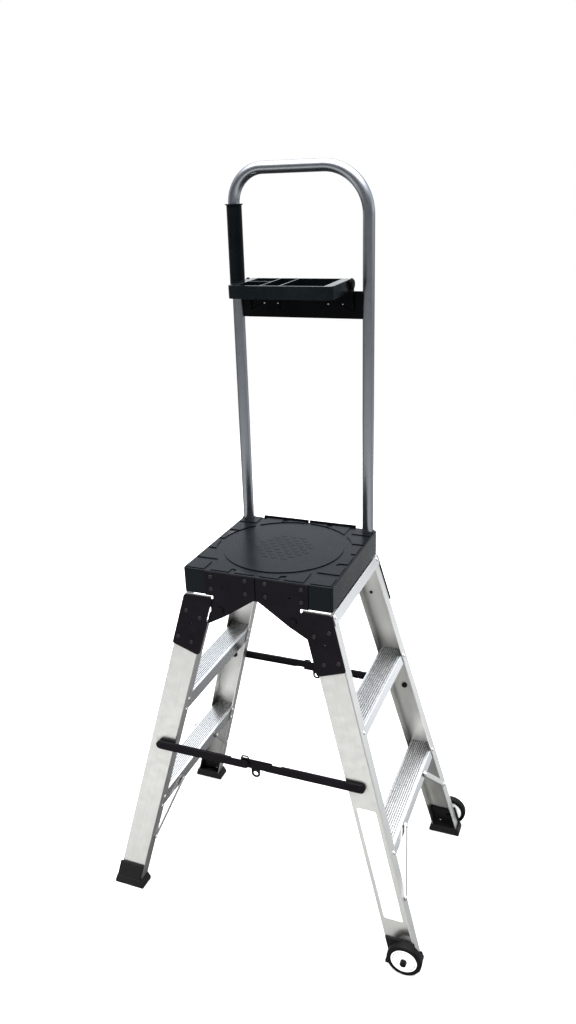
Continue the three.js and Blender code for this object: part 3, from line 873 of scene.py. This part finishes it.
def label():
    """A blank white sticker with rounded corners and no marks on it."""

    def build(tree, where):
        speckle = noise(tree, stretched(tree, where, (90, 90, 90)), 1.0, 3.0, 0.6)
        return {
            "Base Color": ramp(tree, speckle, (0.74, 0.74, 0.73), (0.84, 0.84, 0.83)),
            "Roughness": ramp(tree, speckle, 0.3, 0.42),
            "Normal": bump(tree, speckle, 0.02 * MM, 0.3),
        }

    paper = surface("label film", build, specular=0.45)
    bm = bmesh.new()
    loops = []
    for lift in (0.05 * MM, 0.25 * MM):
        corners = rounded_rectangle(LABEL_HALF, (LABEL_TOP - LABEL_BOTTOM) / 2, 3 * MM, 5)
        loop = []
        for a, b in corners:
            z = (LABEL_TOP + LABEL_BOTTOM) / 2 + b
            loop.append(Vector((stile_x(z) + a, -web_y(z) - lift, z)))
        loops.append(loop)
    skin(bm, loops)
    piece("stile_label", bm, paper, LEG_BODY[1])


label()


# ---- floor, light and camera ----
# The room's tone at heights from -1, straight down, to 1, straight up, against the white that the
# camera sees:
# a lamp ceiling, a dim wall in front of the ladder, a cooler one behind it with a bright
# window band, and a brighter one behind and to the right.
FRONT_SKY = [
    (-0.82, (0.05, 0.05, 0.05)),
    (-0.66, (0.14, 0.14, 0.14)),
    (-0.59, (0.9, 0.9, 0.88)),
    (-0.5, (1.3, 1.3, 1.28)),
    (-0.38, (1.16, 1.16, 1.145)),
    (-0.2, (0.24, 0.245, 0.25)),
    (0.1, (0.12, 0.125, 0.135)),
    (0.5, (0.42, 0.42, 0.42)),
    (0.72, (4.2, 4.2, 4.2)),
]
BACK_SKY = [
    (-0.82, (0.06, 0.06, 0.06)),
    (-0.6, (0.3, 0.305, 0.31)),
    (-0.42, (0.5, 0.51, 0.52)),
    (-0.25, (0.2, 0.205, 0.21)),
    (-0.1, (0.2, 0.205, 0.21)),
    (0.06, (2.0, 2.05, 2.1)),
    (0.28, (1.06, 1.13, 1.23)),
    (0.6, (0.98, 1.04, 1.12)),
    (0.74, (4.2, 4.2, 4.2)),
]
SIDE_SKY = [
    (-0.82, (0.06, 0.06, 0.06)),
    (-0.56, (0.36, 0.37, 0.38)),
    (-0.42, (0.62, 0.64, 0.66)),
    (-0.28, (1.4, 1.43, 1.48)),
    (-0.18, (0.3, 0.305, 0.31)),
    (-0.08, (0.25, 0.255, 0.26)),
    (0.06, (1.2, 1.24, 1.3)),
    (0.28, (1.06, 1.13, 1.23)),
    (0.6, (0.98, 1.04, 1.12)),
    (0.74, (4.2, 4.2, 4.2)),
]


def stage():
    """A pale floor that fades out, a graded sky, a ceiling light and a soft fill light."""
    bpy.ops.mesh.primitive_circle_add(vertices=96, radius=5, fill_type="NGON")
    floor = bpy.context.object
    floor.name = "floor"
    floor.visible_glossy = False

    def build(tree, where):
        speckle = noise(tree, where, 3.0)
        return {"Base Color": ramp(tree, speckle, (0.83, 0.83, 0.83), (0.86, 0.86, 0.86)),
                "Roughness": 0.7}

    material = surface("studio floor", build, specular=0.1)
    tree = material.node_tree
    shader = tree.nodes["Principled BSDF"]
    where = tree.nodes.new("ShaderNodeTexCoord").outputs["Object"]
    away = node(tree, "ShaderNodeVectorMath", {0: where}, operation="LENGTH").outputs["Value"]
    solid = node(tree, "ShaderNodeMapRange", {"Value": away, "From Min": 1.6, "From Max": 4.5,
                                              "To Min": 1.0, "To Max": 0.0})
    tree.links.new(solid.outputs[0], shader.inputs["Alpha"])
    floor.data.materials.append(material)

    world = bpy.data.worlds.new("studio")
    bpy.context.scene.world = world
    world.use_nodes = True
    tree = world.node_tree
    background = tree.nodes["Background"]
    way = tree.nodes.new("ShaderNodeTexCoord").outputs["Generated"]
    axes = node(tree, "ShaderNodeSeparateXYZ", {"Vector": way}).outputs
    height = node(tree, "ShaderNodeMapRange", {"Value": axes["Z"], "From Min": -1.0}).outputs[0]
    front = graded(tree, height, [(z / 2 + 0.5, tone) for z, tone in FRONT_SKY])
    back = graded(tree, height, [(z / 2 + 0.5, tone) for z, tone in BACK_SKY])
    behind = node(
        tree, "ShaderNodeMapRange", {"Value": axes["Y"], "From Min": -0.45, "From Max": 0.45}
    )
    side = graded(tree, height, [(z / 2 + 0.5, tone) for z, tone in SIDE_SKY])
    aside = node(
        tree, "ShaderNodeMapRange", {"Value": axes["X"], "From Min": 0.1, "From Max": 0.4}
    )
    beyond = node(tree, "ShaderNodeMapRange", {"Value": axes["Y"], "From Min": 0.1, "From Max": 0.6})
    corner = math_node(tree, "MULTIPLY", aside.outputs[0], beyond.outputs[0])
    sky = mixed(tree, corner, mixed(tree, behind.outputs[0], front, back), side)
    seen = node(tree, "ShaderNodeLightPath").outputs["Is Camera Ray"]
    shown = mixed(tree, seen, sky, (1.0, 1.0, 1.0))
    tree.links.new(shown, background.inputs["Color"])
    background.inputs["Strength"].default_value = 1.0

    def area(name, at, aim, size, power):
        light = bpy.data.lights.new(name, "AREA")
        light.shape = "RECTANGLE"
        light.size, light.size_y = size
        light.energy = power
        made = bpy.data.objects.new(name, light)
        bpy.context.scene.collection.objects.link(made)
        made.location = at
        made.rotation_euler = (Vector(aim) - Vector(at)).to_track_quat("-Z", "Y").to_euler()
        return made

    area("ceiling light", (-0.3, 0.1, 3.9), (-0.3, 0.1, 0), (2.2, 2.2), 75)
    fill = area("fill light", (-0.6, -3.4, 1.2), (0, 0, 0.6), (2.6, 2.0), 95)
    fill.visible_glossy = False


CAMERA_AT = (0.6721, -1.6223, 1.6164)
CAMERA_TURN = 22.13  # degrees left of looking along +Y
CAMERA_DOWN = 20.68
CAMERA_ROLL = -1.80
CAMERA_LENS = 29.74  # millimetres on a 36 mm long side


def camera():
    data = bpy.data.cameras.new("camera")
    data.sensor_width = 36
    data.sensor_fit = "AUTO"
    data.lens = CAMERA_LENS
    made = bpy.data.objects.new("camera", data)
    bpy.context.scene.collection.objects.link(made)
    turn = Matrix.Rotation(math.radians(CAMERA_TURN), 4, "Z")
    tilt = Matrix.Rotation(math.radians(90 - CAMERA_DOWN), 4, "X")
    roll = Matrix.Rotation(math.radians(CAMERA_ROLL), 4, "Z")
    made.matrix_world = Matrix.Translation(CAMERA_AT) @ turn @ tilt @ roll
    bpy.context.scene.camera = made


stage()
camera()
bpy.context.scene.view_settings.view_transform = "Standard"
